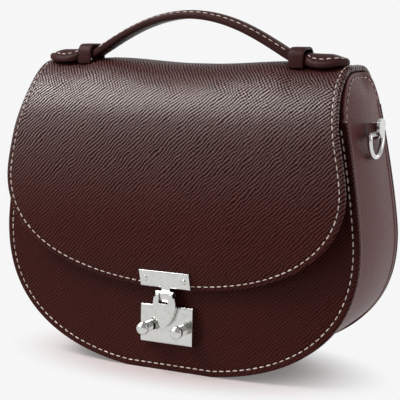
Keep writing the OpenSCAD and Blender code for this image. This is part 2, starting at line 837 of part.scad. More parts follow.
front_panel();
back_panel();
gusset();
front_lining();
back_lining();
gusset_lining();
base_board();
lock_plate();
lock_back_plate();
lock_screws();
left_ring_post();
right_ring_post();
ring_screws();
flap();
flap_lining();
left_keeper();
right_keeper();
handle_arch();
left_handle_end();
right_handle_end();
hasp_plate();
hasp_back_plate();
hasp_rivets();
hasp();
hasp_pin();
left_jaw();
right_jaw();
left_knob();
right_knob();
left_ring();
right_ring();
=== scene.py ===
"""A saddle shaped crossbody bag in cross grain leather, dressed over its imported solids.

Lengths are in millimetres in the sizes and formulas below, and are made metres where a point is placed.
X runs along the bag's width, the front faces -Y and Z is up. The bag stands on Z = 0.
"""
import math

import bpy
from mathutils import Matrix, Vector


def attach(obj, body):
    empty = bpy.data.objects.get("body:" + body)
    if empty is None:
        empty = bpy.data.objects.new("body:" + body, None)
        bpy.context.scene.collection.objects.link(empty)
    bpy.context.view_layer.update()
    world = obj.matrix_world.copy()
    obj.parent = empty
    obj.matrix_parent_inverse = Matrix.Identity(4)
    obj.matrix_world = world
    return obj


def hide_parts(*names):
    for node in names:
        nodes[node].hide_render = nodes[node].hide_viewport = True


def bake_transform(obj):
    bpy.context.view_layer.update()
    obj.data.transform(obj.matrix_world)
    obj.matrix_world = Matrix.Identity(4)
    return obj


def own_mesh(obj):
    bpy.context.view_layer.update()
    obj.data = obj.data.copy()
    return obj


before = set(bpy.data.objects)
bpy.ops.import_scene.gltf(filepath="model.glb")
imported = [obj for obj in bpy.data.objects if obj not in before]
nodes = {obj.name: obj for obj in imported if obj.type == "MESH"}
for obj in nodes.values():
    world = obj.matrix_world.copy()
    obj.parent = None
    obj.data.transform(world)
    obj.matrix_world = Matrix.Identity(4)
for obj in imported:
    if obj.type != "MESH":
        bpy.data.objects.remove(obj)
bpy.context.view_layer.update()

MM = 0.001

# Sizes of the bag, the same as those of its solids
WIDTH, WIDE_Z, PANEL_TOP = 220.0, 77.0, 144.0
BASE_DEPTH, MOUTH_DEPTH, SIDE_DRAW = 74.4, 61.0, 15.5
PANEL_T, GUSSET_T, SEAM_W, SINK = 2.6, 2.2, 3.4, 1.2
CROWN_Z, CROWN_W, FLAP_W, FLAP_WIDE_Z, FOOT_Z = 171.8, 190.0, 208.8, 107.0, 47.5
HINGE_Z, FLAP_T = 150.0, 3.0
BODY_POWER, FLAP_POWER = 2.35, 2.17
LEAN = math.atan((BASE_DEPTH - MOUTH_DEPTH) / 2 / PANEL_TOP)
HANDLE_Y, KEEPER_X, KEEPER_LEN, STRAP_W, STRAP_T = -8.0, 66.0, 8.4, 13.0, 4.6
STRAP_FOOT, STRAP_LOW, ARCH_TOP = 176.6, 174.4, 198.7
RING_X, RING_Z, WIRE_R = 106.563, 136.0, 1.4


def mix(a, b, share):
    return a + (b - a) * share


def ease(share):
    share = min(max(share, 0.0), 1.0)
    return share * share * (3 - 2 * share)


def half_depth(z):
    return BASE_DEPTH / 2 - z * math.tan(LEAN)


def side_half(z):
    return WIDTH / 2 - SIDE_DRAW * (max(z - WIDE_Z, 0) / (CROWN_Z - WIDE_Z)) ** 1.35


def flap_half(z):
    share = min(max(z - FLAP_WIDE_Z, 0) / (CROWN_Z - FLAP_WIDE_Z), 1)
    return FLAP_W / 2 - (FLAP_W - CROWN_W) / 2 * math.sin(math.pi / 2 * share) ** 1.5


def cubic(a, b, c, d, steps):
    """Points of a cubic curve, without its first point."""
    points = []
    for i in range(1, steps + 1):
        t = i / steps
        s = 1 - t
        points.append(tuple(s ** 3 * p + 3 * s * s * t * q + 3 * s * t * t * r + t ** 3 * u
                            for p, q, r, u in zip(a, b, c, d)))
    return points


class Track:
    """A flat line of points that can be read by the distance along it."""

    def __init__(self, points):
        self.points = points
        self.at = [0.0]
        for p, q in zip(points, points[1:]):
            self.at.append(self.at[-1] + math.dist(p, q))
        self.length = self.at[-1]

    def span(self, distance):
        distance = min(max(distance, 0.0), self.length)
        low, high = 0, len(self.at) - 1
        while high - low > 1:
            middle = (low + high) // 2
            low, high = (middle, high) if self.at[middle] <= distance else (low, middle)
        return low, (distance - self.at[low]) / max(self.at[high] - self.at[low], 1e-9)

    def point(self, distance):
        i, share = self.span(distance)
        return tuple(mix(p, q, share) for p, q in zip(self.points[i], self.points[i + 1]))

    def side(self, distance):
        """Unit vector to the right of the way the track runs."""
        p, q = self.point(distance - 1.2), self.point(distance + 1.2)
        length = math.dist(p, q)
        return ((q[1] - p[1]) / length, -(q[0] - p[0]) / length)

    def where(self, index, value, start=0.0):
        """Distance, past start, at which one coordinate first falls to a value."""
        for i, (p, q) in enumerate(zip(self.points, self.points[1:])):
            crosses = (p[index] - value) * (q[index] - value) <= 0 and p[index] != q[index]
            if self.at[i] >= start and crosses:
                return mix(self.at[i], self.at[i + 1], (value - p[index]) / (q[index] - p[index]))
        return self.length


def even_shares(line, count):
    """Shares of a parameter that cut the curve line(share) into equal lengths."""
    fine = 400
    track = Track([line(i / fine) for i in range(fine + 1)])
    shares = []
    for k in range(count + 1):
        i, part = track.span(track.length * k / count)
        shares.append((i + part) / fine)
    return shares


def both_sides(half):
    """A closed outline from its right half, whose first and last points lie on the middle."""
    return half + [(-x, y) for x, y in reversed(half[1:-1])]


# Outline of a body panel in its own plane, drawn in by inset
def rounded(a, b, power, angle):
    return (a * max(math.cos(angle), 0.0) ** (2 / power), b * math.sin(angle) ** (2 / power))


def bottom_start(inset):
    return math.asin(((WIDE_Z - inset) / (WIDE_Z + SINK - inset)) ** (BODY_POWER / 2))


BOTTOM_SHARES = even_shares(
    lambda s: rounded(WIDTH / 2, WIDE_Z + SINK, BODY_POWER, bottom_start(0) * (1 - s)), 50)


def body_half(inset, top, side_steps=28):
    points = []
    for share in BOTTOM_SHARES:
        x, drop = rounded(WIDTH / 2 - inset, WIDE_Z + SINK - inset, BODY_POWER,
                          bottom_start(inset) * (1 - share))
        points.append((x, WIDE_Z - drop))
    flat = points[0][0]
    points = [(flat * i / 10, inset) for i in range(10)] + points
    for i in range(1, side_steps + 1):
        z = mix(WIDE_Z, top, i / side_steps)
        points.append((side_half(z) - inset, z))
    return points


def panel_outline(top):
    def outline(inset):
        half = body_half(inset, top - inset)
        x, z = half[-1]
        return both_sides(half + [(x * (1 - i / 24), z) for i in range(1, 25)])
    return outline


def on_panel(x, up, out, back=False):
    """A point in front of the front panel's outer face, or behind the back panel's."""
    y = -BASE_DEPTH / 2 + up * math.sin(LEAN) - out * math.cos(LEAN)
    return (x, -y if back else y, up * math.cos(LEAN) + out * math.sin(LEAN))


# How far the panels bulge, where the flap or the back's plain face leaves room
FRONT_BULGE, BACK_BULGE = 5.2, 2.6


def front_face(x, up, out):
    swell = FRONT_BULGE * ease((up - 56) / 50) * ease((148 - up) / 18) * max(1 - (x / 100) ** 2, 0)
    return on_panel(x, up, out + swell)


def back_face(x, up, out):
    swell = BACK_BULGE * ease((up - 4) / 50) * ease((134 - up) / 46) * max(1 - (x / 106) ** 2, 0)
    return on_panel(x, up, out + swell, back=True)


# Side view of the flap's outside: a lap on the back panel, the crown, the front and the foot
LAP_Z, LAP_OUT, LAP_T = 134.0, 1.25, 1.2
tilt = math.radians(14)
foot = (-38.79, FOOT_Z)
seat = (foot[0] - 14.5 * math.sin(tilt), FOOT_Z + 14.5 * math.cos(tilt))
belly, brow = (-40.96, 132.0), (-38.92, 150.0)
fall = math.dist(belly, brow)
belly_run = tuple((p - q) / fall * 14 for p, q in zip(belly, brow))
lap_top = (half_depth(147) + LAP_OUT, 147.0)
FLAP = Track(
    [(mix(half_depth(LAP_Z) + LAP_OUT, lap_top[0], i / 8), mix(LAP_Z, 147, i / 8)) for i in range(9)]
    + cubic(lap_top, (lap_top[0] - 0.3, 160), (23, CROWN_Z), (8, CROWN_Z), 40)
    + [(8 - 13.96 * i / 12, CROWN_Z) for i in range(1, 13)]
    + cubic((-5.96, CROWN_Z), (-21.96, CROWN_Z), brow, belly, 60)
    + cubic(belly, (belly[0] + belly_run[0], belly[1] + belly_run[1]),
            (seat[0] - 12 * math.sin(tilt), seat[1] + 12 * math.cos(tilt)), seat, 60)
    + [tuple(mix(p, q, i / 12) for p, q in zip(seat, foot)) for i in range(1, 13)])
CROWN_S = FLAP.where(0, 0.0)
WIDE_S = FLAP.where(1, FLAP_WIDE_Z, CROWN_S)
FLAP_SHARES = even_shares(
    lambda s: rounded(FLAP_W / 2, FLAP_WIDE_Z - FOOT_Z, FLAP_POWER, math.pi / 2 * s), 56)


def flap_side(s):
    z = FLAP.point(s)[1]
    front = flap_half(z)
    if s > CROWN_S:
        return front
    return mix(front, side_half(z) - 0.9, ease((CROWN_Z - z) / 20))


def flap_outline(inset):
    x = flap_side(inset) - inset
    half = [(x * i / 24, inset) for i in range(24)]
    for i in range(60):
        s = mix(inset, WIDE_S, i / 60)
        half.append((flap_side(s) - inset, s))
    for share in FLAP_SHARES:
        x, drop = rounded(FLAP_W / 2 - inset, FLAP_WIDE_Z - FOOT_Z - inset, FLAP_POWER,
                          math.pi / 2 * share)
        half.append((x, FLAP.where(1, FLAP_WIDE_Z - drop, WIDE_S - 3)))
    half[-1] = (0.0, half[-1][1])
    return both_sides(half)


def flap_face(x, s, out):
    """Out is measured as if the leather were 3 mm thick all over; the lap is pared down."""
    (y, z), (ny, nz) = FLAP.point(s), FLAP.side(s)
    pared = ease((z - 150.3) / 4) if s < CROWN_S else 1.0
    depth = out * mix(LAP_T / FLAP_T, 1.0, pared) if out < 0 else out
    y, z = y + ny * depth, z + nz * depth
    reach = abs(x) / (FLAP_W / 2)
    rise = mix(-0.9, 1.5, ease((abs(x) - 6) / 52)) * ease((67 - abs(x)) / 7) * ease((z - 152) / 16)
    if s > CROWN_S:
        y += 0.9 * reach ** 5 * ease((FLAP.point(s)[1] - 58) / 40) * ease((166 - FLAP.point(s)[1]) / 14)
    return (x, y, z + rise)


# Shader maths
class Value:
    """A shader socket that takes part in plain arithmetic."""

    def __init__(self, finish, socket):
        self.finish = finish
        self.socket = socket

    def math(self, operation, *others):
        values = dict(enumerate(others))
        return self.finish.node("ShaderNodeMath", values, operation=operation)

    def __add__(self, other):
        return self.math("ADD", self, other)

    def __sub__(self, other):
        return self.math("SUBTRACT", self, other)

    def __rsub__(self, other):
        return self.math("SUBTRACT", other, self)

    def __mul__(self, other):
        return self.math("MULTIPLY", self, other)

    def __pow__(self, other):
        return self.math("POWER", self, other)

    __radd__, __rmul__ = __add__, __mul__

    def wave(self):
        """From 0 to 1 and back in each whole turn."""
        return self.math("SINE", self * (2 * math.pi)) * 0.5 + 0.5

    def step(self, low, high):
        return self.finish.node("ShaderNodeMapRange", {"Value": self, "From Min": low, "From Max": high},
                                interpolation_type="SMOOTHSTEP")


class Finish:
    """A material built from nodes around one Principled shader."""

    def __init__(self, name, **fixed):
        self.material = bpy.data.materials.new(name)
        self.material.use_nodes = True
        self.tree = self.material.node_tree
        self.shader = self.tree.nodes["Principled BSDF"]
        for socket, value in fixed.items():
            self.set(socket.replace("_", " ").title().replace("Ior", "IOR"), value)

    def node(self, kind, values=None, out=0, **settings):
        made = self.tree.nodes.new(kind)
        for name, value in settings.items():
            setattr(made, name, value)
        for name, value in (values or {}).items():
            if isinstance(value, Value):
                self.tree.links.new(value.socket, made.inputs[name])
            else:
                made.inputs[name].default_value = value
        return Value(self, made.outputs[out])

    def set(self, name, value):
        if isinstance(value, Value):
            self.tree.links.new(value.socket, self.shader.inputs[name])
        else:
            self.shader.inputs[name].default_value = value

    def place(self, own_map=False):
        """Coordinates in millimetres: the object's own, or the piece's own map."""
        coordinates = self.node("ShaderNodeTexCoord", out="UV" if own_map else "Object")
        return self.node("ShaderNodeVectorMath", {0: coordinates, 3: 1 / MM}, operation="SCALE")

    def axes(self, place):
        split = self.node("ShaderNodeSeparateXYZ", {0: place})
        return [Value(self, split.socket.node.outputs[i]) for i in range(3)]

    def noise(self, place, size, detail=2.0, rough=0.5):
        return self.node("ShaderNodeTexNoise",
                         {"Vector": place, "Scale": 1 / size, "Detail": detail, "Roughness": rough})

    def colours(self, share, first, second):
        return self.node("ShaderNodeMix", {0: share, 6: (*first, 1), 7: (*second, 1)}, out=2,
                         data_type="RGBA")

    def tint(self, share, first, second):
        """Like colours, where first is itself a colour that varies."""
        return self.node("ShaderNodeMix", {0: share, 6: first, 7: (*second, 1)}, out=2, data_type="RGBA")

    def bump(self, height, depth):
        """Depth is in millimetres for a height of 1."""
        self.set("Normal", self.node("ShaderNodeBump",
                                     {"Height": height, "Distance": depth * MM, "Strength": 1.0}))


def cross_grain(name, pitch, dark, light, depth, own_map=True, glaze=0.1, polished=None):
    """Leather embossed with slanting ridges, crossed by a finer and fainter set. The ridges are glazed.

    Polished gives the two heights of the map between which the glaze wears in.
    """
    finish = Finish(name, specular_ior_level=0.06, coat_roughness=0.46, coat_ior=1.85)
    place = finish.place(own_map)
    x, y, z = finish.axes(place)
    up = y if own_map else z
    drift = finish.noise(place, 9.0, 2.0)
    wander = finish.noise(place, 1.7, 2.0)
    breaks = finish.noise(place, 2.6, 3.0, 0.6)
    sway = drift * 1.9 + wander * 0.42
    rising = ((x * 0.70 - up * 0.72) * (1 / pitch) + sway).wave()
    falling = ((x * 0.80 + up * 0.60) * (1 / (pitch * 0.86)) + sway * 0.9 + 0.3).wave()
    ridges = rising ** 0.8 * (breaks * 0.5 + 0.72)
    crossing = falling ** 0.9 * (1.15 - breaks * 0.6)
    height = ridges * 0.68 + crossing * 0.32
    if polished:
        upright = ((x * 0.84 + up * 0.54) * (1.05 / pitch) + sway).wave() * (breaks * 0.7 + 0.56)
        height = finish.node("ShaderNodeMix", {0: up.step(-106, -80) * 0.45, 2: height, 3: upright})
    cloud = finish.noise(place, 46.0, 3.0)
    # Ridges lighter than valleys. On the flap this contrast grows towards the top: a painted sheen where
    # the key light falls on the shoulder.
    ridge_tone_and_painted_sheen = height.step(0.15, 0.75) - 0.6
    ridge_tone_and_painted_sheen = ridge_tone_and_painted_sheen * (up.step(-190, -110) * 0.3 + 0.7) if polished else ridge_tone_and_painted_sheen * 0.7
    base = finish.colours(ridge_tone_and_painted_sheen + 0.6, dark, light)
    faded = tuple(c * 0.72 for c in light)
    finish.set("Base Color", finish.tint(cloud.step(0.42, 0.75) * 0.35, base, faded))
    finish.set("Roughness", 0.48 - height.step(0.15, 0.7) * 0.16 + cloud * 0.08)
    top = height.step(0.50, 0.60)
    if polished:
        finish.set("Coat Weight", top * (up.step(*polished) * (1 - glaze) + glaze))
    else:
        finish.set("Coat Weight", top * glaze)
    finish.bump(height + wander * 0.12, depth)
    return finish.material


def fine_grain(name, dark, light, rough, depth, size=1.3):
    """Smooth leather with a small pebbled grain."""
    finish = Finish(name, specular_ior_level=0.34)
    place = finish.place()
    cells = finish.node("ShaderNodeTexVoronoi", {"Vector": place, "Scale": 1 / size}, feature="SMOOTH_F1")
    cloud = finish.noise(place, 30.0, 3.0)
    fibre = finish.noise(place, 0.8, 2.0)
    tone = cells * 0.45 + cloud * 0.55
    finish.set("Base Color", finish.colours(tone, dark, light))
    finish.set("Roughness", rough + cells * 0.12 + cloud * 0.08 - 0.08)
    finish.bump(cells * 0.7 + fibre * 0.3, depth)
    return finish.material


def edge_paint(name, dark, light, rough, shine):
    """Dried edge paint: smooth, slightly wavy, with a worn shine."""
    finish = Finish(name, specular_ior_level=shine)
    place = finish.place()
    cloud = finish.noise(place, 12.0, 2.0)
    finish.set("Base Color", finish.colours(cloud, dark, light))
    finish.set("Roughness", rough + cloud * 0.12)
    finish.bump(finish.noise(place, 1.4, 2.0), 0.10)
    return finish.material


def waxed_thread(name):
    finish = Finish(name, sheen_weight=0.2)
    place = finish.place()
    x, y, z = finish.axes(place)
    ply = ((x + y * 0.7 + z) * 1.9).wave()
    finish.set("Base Color", finish.colours(ply * 0.6 + finish.noise(place, 14.0) * 0.4,
                                            (0.50, 0.41, 0.36), (0.94, 0.83, 0.75)))
    finish.set("Roughness", 0.5 + ply * 0.15)
    finish.bump(ply, 0.06)
    return finish.material


def suede(name, dark, light):
    finish = Finish(name, sheen_weight=0.35, sheen_roughness=0.5)
    place = finish.place()
    nap = finish.noise(place, 0.7, 3.0, 0.7)
    cloud = finish.noise(place, 22.0, 3.0)
    finish.set("Base Color", finish.colours(nap * 0.4 + cloud * 0.6, dark, light))
    finish.set("Roughness", 0.86 + nap * 0.1)
    finish.bump(nap, 0.12)
    return finish.material


def pressed_board(name):
    finish = Finish(name)
    place = finish.place()
    flecks = finish.noise(place, 1.6, 4.0, 0.7)
    finish.set("Base Color", finish.colours(flecks, (0.10, 0.06, 0.045), (0.22, 0.15, 0.11)))
    finish.set("Roughness", 0.8 + flecks * 0.12)
    finish.bump(flecks, 0.1)
    return finish.material


def polished_nickel(name, rough, tone):
    """Plated metal with a soft polish, hairline wipe marks and a few dull spots."""
    finish = Finish(name, metallic=1.0)
    place = finish.place()
    x, y, z = finish.axes(place)
    wipe = finish.node("ShaderNodeTexNoise", {"Vector": finish.node(
        "ShaderNodeCombineXYZ", {0: x * 0.12, 1: y * 2.2, 2: z * 2.4}), "Scale": 1.0, "Detail": 2.0})
    spots = finish.noise(place, 3.4, 3.0, 0.6)
    finish.set("Base Color", finish.colours(spots.step(0.35, 0.8), tone, tuple(c * 0.90 for c in tone)))
    finish.set("Roughness", rough + wipe * 0.05 + spots.step(0.5, 0.85) * 0.10)
    finish.bump(wipe, 0.006)
    return finish.material


flap_leather = cross_grain("flap_cross_grain", 1.70, (0.006, 0.0012, 0.0010), (0.078, 0.0150, 0.0110),
                           0.40, glaze=0.06, polished=(-178, -90))
body_leather = cross_grain("panel_cross_grain", 1.60, (0.006, 0.0012, 0.0010), (0.064, 0.0120, 0.0090),
                           0.26, glaze=0.02)
strap_leather = cross_grain("handle_cross_grain", 1.0, (0.018, 0.0044, 0.0038), (0.056, 0.0135, 0.0115),
                            0.14, own_map=False, glaze=0.16)
gusset_leather = fine_grain("gusset_fine_grain", (0.062, 0.010, 0.009), (0.140, 0.028, 0.025), 0.40, 0.22)
flap_edge = edge_paint("flap_edge_paint", (0.072, 0.030, 0.028), (0.130, 0.064, 0.060), 0.40, 0.30)
# Near-black edge paint on the cut edges, also laid on the gusset's band under the flap's rim as painted
# shade.
dark_edge_paint_and_shade = edge_paint("seam_edge_paint_and_painted_shade", (0.005, 0.0015, 0.0015), (0.014, 0.004, 0.004), 0.55, 0.04)
thread = waxed_thread("cream_thread")
lining = suede("lining_suede", (0.085, 0.040, 0.034), (0.16, 0.085, 0.072))
board = pressed_board("base_board")
bright_nickel = polished_nickel("bright_nickel", 0.11, (0.66, 0.655, 0.63))
ring_nickel = polished_nickel("ring_nickel", 0.07, (0.70, 0.70, 0.685))
inner_steel = polished_nickel("inner_steel", 0.30, (0.40, 0.40, 0.39))
# Near-black nickel for the knob stems and the hasp pin: painted dark reflection and shade on plating that
# is bright.
nickel_with_painted_dark_reflection = polished_nickel("nickel_with_painted_dark_reflection", 0.24, (0.05, 0.048, 0.045))


# Making pieces
CLOSE_GAP = 0.004


def alone(obj=None):
    """Leaves nothing selected, or one piece only."""
    if bpy.context.object and bpy.context.object.mode != "OBJECT":
        bpy.ops.object.mode_set(mode="OBJECT")
    bpy.ops.object.select_all(action="DESELECT")
    if obj:
        obj.select_set(True)
        bpy.context.view_layer.objects.active = obj


def pick(obj, kind, test):
    """Selects the faces or the edges that pass a test, and stays in edit mode."""
    alone(obj)
    bpy.ops.object.mode_set(mode="EDIT")
    bpy.ops.mesh.select_mode(type=kind)
    bpy.ops.mesh.select_all(action="DESELECT")
    bpy.ops.object.mode_set(mode="OBJECT")
    for part in obj.data.polygons if kind == "FACE" else obj.data.edges:
        part.select = test(part)
    bpy.ops.object.mode_set(mode="EDIT")


def clean(obj):
    """Closes seams and poles of a new shape and turns its faces outwards."""
    alone(obj)
    bpy.ops.object.mode_set(mode="EDIT")
    bpy.ops.mesh.select_all(action="SELECT")
    bpy.ops.mesh.remove_doubles(threshold=CLOSE_GAP * MM)
    bpy.ops.mesh.normals_make_consistent(inside=False)
    bpy.ops.object.mode_set(mode="OBJECT")


def finish_piece(obj, name, body, finishes, replaced=(), smooth=40):
    obj.name = obj.data.name = name
    obj.data.materials.clear()
    for material in finishes:
        obj.data.materials.append(material)
    alone(obj)
    bpy.ops.object.shade_smooth_by_angle(angle=math.radians(smooth))
    if replaced:
        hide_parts(*replaced)
    if body:
        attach(obj, body)
    alone()
    return obj


def woven_grid(columns, rows, place, finish_of=None):
    """A grid whose every corner is put in place.

    place(column, row) gives a point and its map, both in millimetres.
    """
    alone()
    bpy.ops.mesh.primitive_grid_add(x_subdivisions=columns, y_subdivisions=rows, size=1)
    obj = bpy.context.object
    obj.location = (0, 0, 0)
    mesh = obj.data
    spots = [place(i % (columns + 1), i // (columns + 1)) for i in range((columns + 1) * (rows + 1))]
    for vertex, (point, _) in zip(mesh.vertices, spots):
        vertex.co = Vector(point) * MM
    layer = mesh.uv_layers.active or mesh.uv_layers.new(name="UVMap")
    for loop in mesh.loops:
        layer.data[loop.index].uv = [c * MM for c in spots[loop.vertex_index][1]]
    if finish_of:
        for face in mesh.polygons:
            face.material_index = finish_of(face.index % columns, face.index // columns)
    return obj


def skin(outline, middle, rings, surface, sense=1):
    """A leather piece as one closed skin.

    Each ring is (inset, share of the way to the middle, rise, finish).
    """
    shapes = {ring[0]: outline(ring[0]) for ring in rings}
    columns = len(shapes[rings[0][0]])
    centre = middle if callable(middle) else lambda column: middle

    def place(column, row):
        inset, share, rise, _ = rings[row]
        a, b = shapes[inset][column % columns]
        c, d = centre(column % columns)
        a, b = mix(a, c, share), mix(b, d, share)
        return surface(a, b, rise), (a, b * sense)

    obj = woven_grid(columns, len(rings) - 1, place, lambda column, row: rings[row][3])
    clean(obj)
    return obj


def leather_rings(thick, steps, reach=13.0, groove=3.5, round_r=0.8, back_steps=10, back=2, rim=0.0,
                  shade_band_finish=0):
    """Rings over the outside, through the stitched groove, round the painted edge and over the inside."""
    rings = [(reach, 1 - i / steps, 0.0, 0) for i in range(steps)]
    rings += [(d, 0.0, 0.0, 0) for d in (reach, reach * 0.72, reach * 0.5, groove + 1.5, groove + 0.9)]
    rings += [(groove + 0.42, 0.0, -0.14, 0), (groove, 0.0, -0.32, 0), (groove - 0.42, 0.0, -0.14, 0)]
    # The band between the groove and the edge takes its own finish. The gusset gives it dark edge paint
    # there: painted shade in its seams and under the flap's rim.
    rings += [(groove - 0.9, 0.0, rim * 0.6, shade_band_finish), (groove - 1.5, 0.0, rim + 0.04, shade_band_finish)]
    turn = [math.radians(15 * i) for i in range(7)]
    for angle in turn:
        rings.append((round_r * (1 - math.sin(angle)), 0.0, rim - round_r * (1 - math.cos(angle)), 1))
    for angle in reversed(turn):
        rings.append((round_r * (1 - math.sin(angle)), 0.0, -thick + round_r * (1 - math.cos(angle)), 1))
    rings += [(groove, 0.0, -thick, back), (reach, 0.0, -thick, back)]
    rings += [(reach, (i + 1) / back_steps, -thick, back) for i in range(back_steps)]
    return rings


def sew(name, points, body, pitch=4.1, closed=False, length=2.9, across=0.36):
    """A row of stitches: one stitch, repeated and bent along a line of points."""
    points = [Vector(p) * MM for p in points]
    if closed:
        points.append(points[0])
    total = sum((b - a).length for a, b in zip(points, points[1:]))
    count = max(1, int(total / (pitch * MM)))
    pitch = total / count
    line = bpy.data.curves.new(name + "_line", "CURVE")
    line.dimensions = "3D"
    spline = line.splines.new("POLY")
    spline.points.add(len(points) - 1)
    for spot, p in zip(spline.points, points):
        spot.co = (*p, 1)
    guide = bpy.data.objects.new(name + "_line", line)
    bpy.context.scene.collection.objects.link(guide)
    alone()
    bpy.ops.mesh.primitive_uv_sphere_add(segments=8, ring_count=5, radius=1)
    obj = bpy.context.object
    alone(obj)
    bpy.ops.object.mode_set(mode="EDIT")
    bpy.ops.mesh.select_all(action="SELECT")
    bpy.ops.transform.rotate(value=math.pi / 2, orient_axis="Y", center_override=(0, 0, 0))
    bpy.ops.transform.resize(value=(length / 2 * MM, across * MM, across * MM), center_override=(0, 0, 0))
    bpy.ops.transform.translate(value=(pitch / 2, 0, 0))
    bpy.ops.object.mode_set(mode="OBJECT")
    for vertex in obj.data.vertices:
        offset = vertex.co.x - pitch / 2
        blunt = math.copysign(abs(offset / (length / 2 * MM)) ** 0.7, offset)
        vertex.co.x = pitch / 2 + blunt * length / 2 * MM
    repeat = obj.modifiers.new("repeat", "ARRAY")
    repeat.fit_type = "FIXED_COUNT"
    repeat.count = count
    repeat.use_relative_offset = False
    repeat.use_constant_offset = True
    repeat.constant_offset_displace = (pitch, 0, 0)
    bend = obj.modifiers.new("bend", "CURVE")
    bend.object = guide
    bend.deform_axis = "POS_X"
    alone(obj)
    bpy.ops.object.modifier_apply(modifier="repeat")
    bpy.ops.object.modifier_apply(modifier="bend")
    bpy.data.objects.remove(guide)
    return finish_piece(obj, name, body, [thread], smooth=60)


# Flap: one leather skin with its lining, from the lap on the back to the foot
flap_middle = (0.0, FLAP.where(1, 122.0, CROWN_S))
flap_rings = leather_rings(FLAP_T, 34, groove=3.0, back_steps=22, round_r=1.0)
flap = skin(flap_outline, flap_middle, flap_rings, flap_face, -1)
finish_piece(flap, "flap_leather", None, [flap_leather, flap_edge, lining],
             ["flap", "flap_lining"])
flap_seam = sew("flap_stitches", [flap_face(x, s, 0.02) for x, s in flap_outline(3.0)], None, closed=True)
for piece in (flap, flap_seam):
    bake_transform(piece)

# Front and back panels
for name, top, face in (("front", PANEL_TOP, front_face), ("back", HINGE_Z - 0.2, back_face)):
    outline = panel_outline(top)
    panel = skin(outline, (0.0, 82.0), leather_rings(PANEL_T, 16, groove=3.4, round_r=0.75), face)
    finish_piece(panel, name + "_panel_leather", "root", [body_leather, flap_edge, lining],
                 [name + "_panel"])
    row = [face(x, z, 0.02) for x, z in reversed(body_half(3.4, top - 3.0))]
    row += [(-x, y, z) for x, y, z in reversed(row[:-1])]
    sew(name + "_panel_stitches", row, "root")


# Gusset: the wall with its two ears, laid out flat along the outline, and the two turned seams
wall_half = body_half(SEAM_W, 170.0, 40)
WALL = Track([(-x, z) for x, z in reversed(wall_half)] + wall_half[1:])
EAR_TOP_Y, EAR_FRONT, EAR_GAP, SHELF_Z = -2.0, -24.1, 3.8, 147.2
WALL_IN = PANEL_T + GUSSET_T - 0.1


def wall_at(side, z):
    """Distance along the wall at which the left or right side reaches a height."""
    if side < 0:
        return WALL.where(1, z)
    return WALL.where(1, z, WALL.length / 2)


def under_flap(s):
    """A point just inside the flap, for the ear to follow."""
    (y, z), (ny, nz) = FLAP.point(s), FLAP.side(s)
    return (y - ny * EAR_GAP, z - nz * EAR_GAP)


def ear_line(inset):
    """Side view of an ear's edge, or of a line inside it, from the front over the top to the back."""
    front, top = EAR_FRONT + inset, CROWN_Z - EAR_GAP - inset
    points = cubic((front, SHELF_Z), (front, 152.5 - inset * 0.65),
                   (-15.3 + inset * 0.9, top - 1.1 - inset * 0.13), (EAR_TOP_Y, top), 20)
    points += [(mix(EAR_TOP_Y, 8, i / 6), top) for i in range(1, 6)]
    low, high = FLAP.where(1, 152), FLAP.where(0, 8)
    for i in range(17):
        (y, z), (ny, nz) = under_flap(mix(high, low, i / 16)), FLAP.side(mix(high, low, i / 16))
        points.append((y - ny * inset, z - nz * inset))
    return points


def ear_edge(side):
    start = half_depth(144) - WALL_IN
    points = [(-start, 144.0)]
    points += cubic((-start, 144), (-start, 146), (EAR_FRONT, 145), (EAR_FRONT, SHELF_Z), 6)
    points += ear_line(0) + [(27.7, 150.9), (27.0, 150.2), (26.2, 149.7)]
    return [(y, wall_at(side, z)) for y, z in points]


def wall_edge():
    """The whole edge of the flat gusset: right ear, back side, left ear, front side."""
    low, high = wall_at(-1, 149), wall_at(1, 149)
    steps = 170
    back = [mix(high, low, i / steps) for i in range(1, steps)]
    front_low, front_high = wall_at(-1, 142.5), wall_at(1, 142.5)
    front = [mix(front_low, front_high, i / steps) for i in range(steps + 1)]
    points = ear_edge(1)
    points += [(half_depth(WALL.point(s)[1]) - WALL_IN, s) for s in back]
    points += list(reversed(ear_edge(-1)))
    points += [(WALL_IN - half_depth(WALL.point(s)[1]), s) for s in front]
    return points


def drawn_in(points, inset):
    """A closed outline moved inwards by inset, at right angles to its edge."""
    moved = []
    for i, (x, y) in enumerate(points):
        (ax, ay), (bx, by) = points[i - 1], points[(i + 1) % len(points)]
        length = math.hypot(bx - ax, by - ay)
        moved.append((x + (by - ay) / length * inset, y - (bx - ax) / length * inset))
    return moved


def swelling(y, z):
    """How far the padded gusset stands out.

    Hardly at the front seam, and flush with the back panel's edge behind.
    """
    reach = half_depth(z) - WALL_IN
    share = min(max((y + reach) / (2 * reach), 0.0), 1.0)
    full = SEAM_W * (1 - (1 - share) ** 2.2) + 0.8 * math.sin(math.pi * share)
    return full * ease((z - 3) / 40) * mix(1.0, 0.45, ease((z - 152) / 16) * ease((20 - y) / 14))


def wall_face(y, s, out):
    (x, z), (nx, nz) = WALL.point(s), WALL.side(s)
    out += swelling(y, z)
    return (x + nx * out, y, z + nz * out)


edge = wall_edge()
ear_low, ear_high = wall_at(-1, 148), wall_at(1, 148)
# Finish 1 on the band between the stitches and the edge, all round the gusset: dark edge paint as painted
# shade in the seams and under the flap's rim.
gusset_rings = leather_rings(GUSSET_T, 12, reach=7.0, groove=3.1, round_r=0.7, back_steps=8, rim=0.35,
                             shade_band_finish=1)
gusset = skin(lambda inset: drawn_in(edge, inset),
              lambda i: (0.0, min(max(edge[i][1], ear_low), ear_high)), gusset_rings, wall_face)


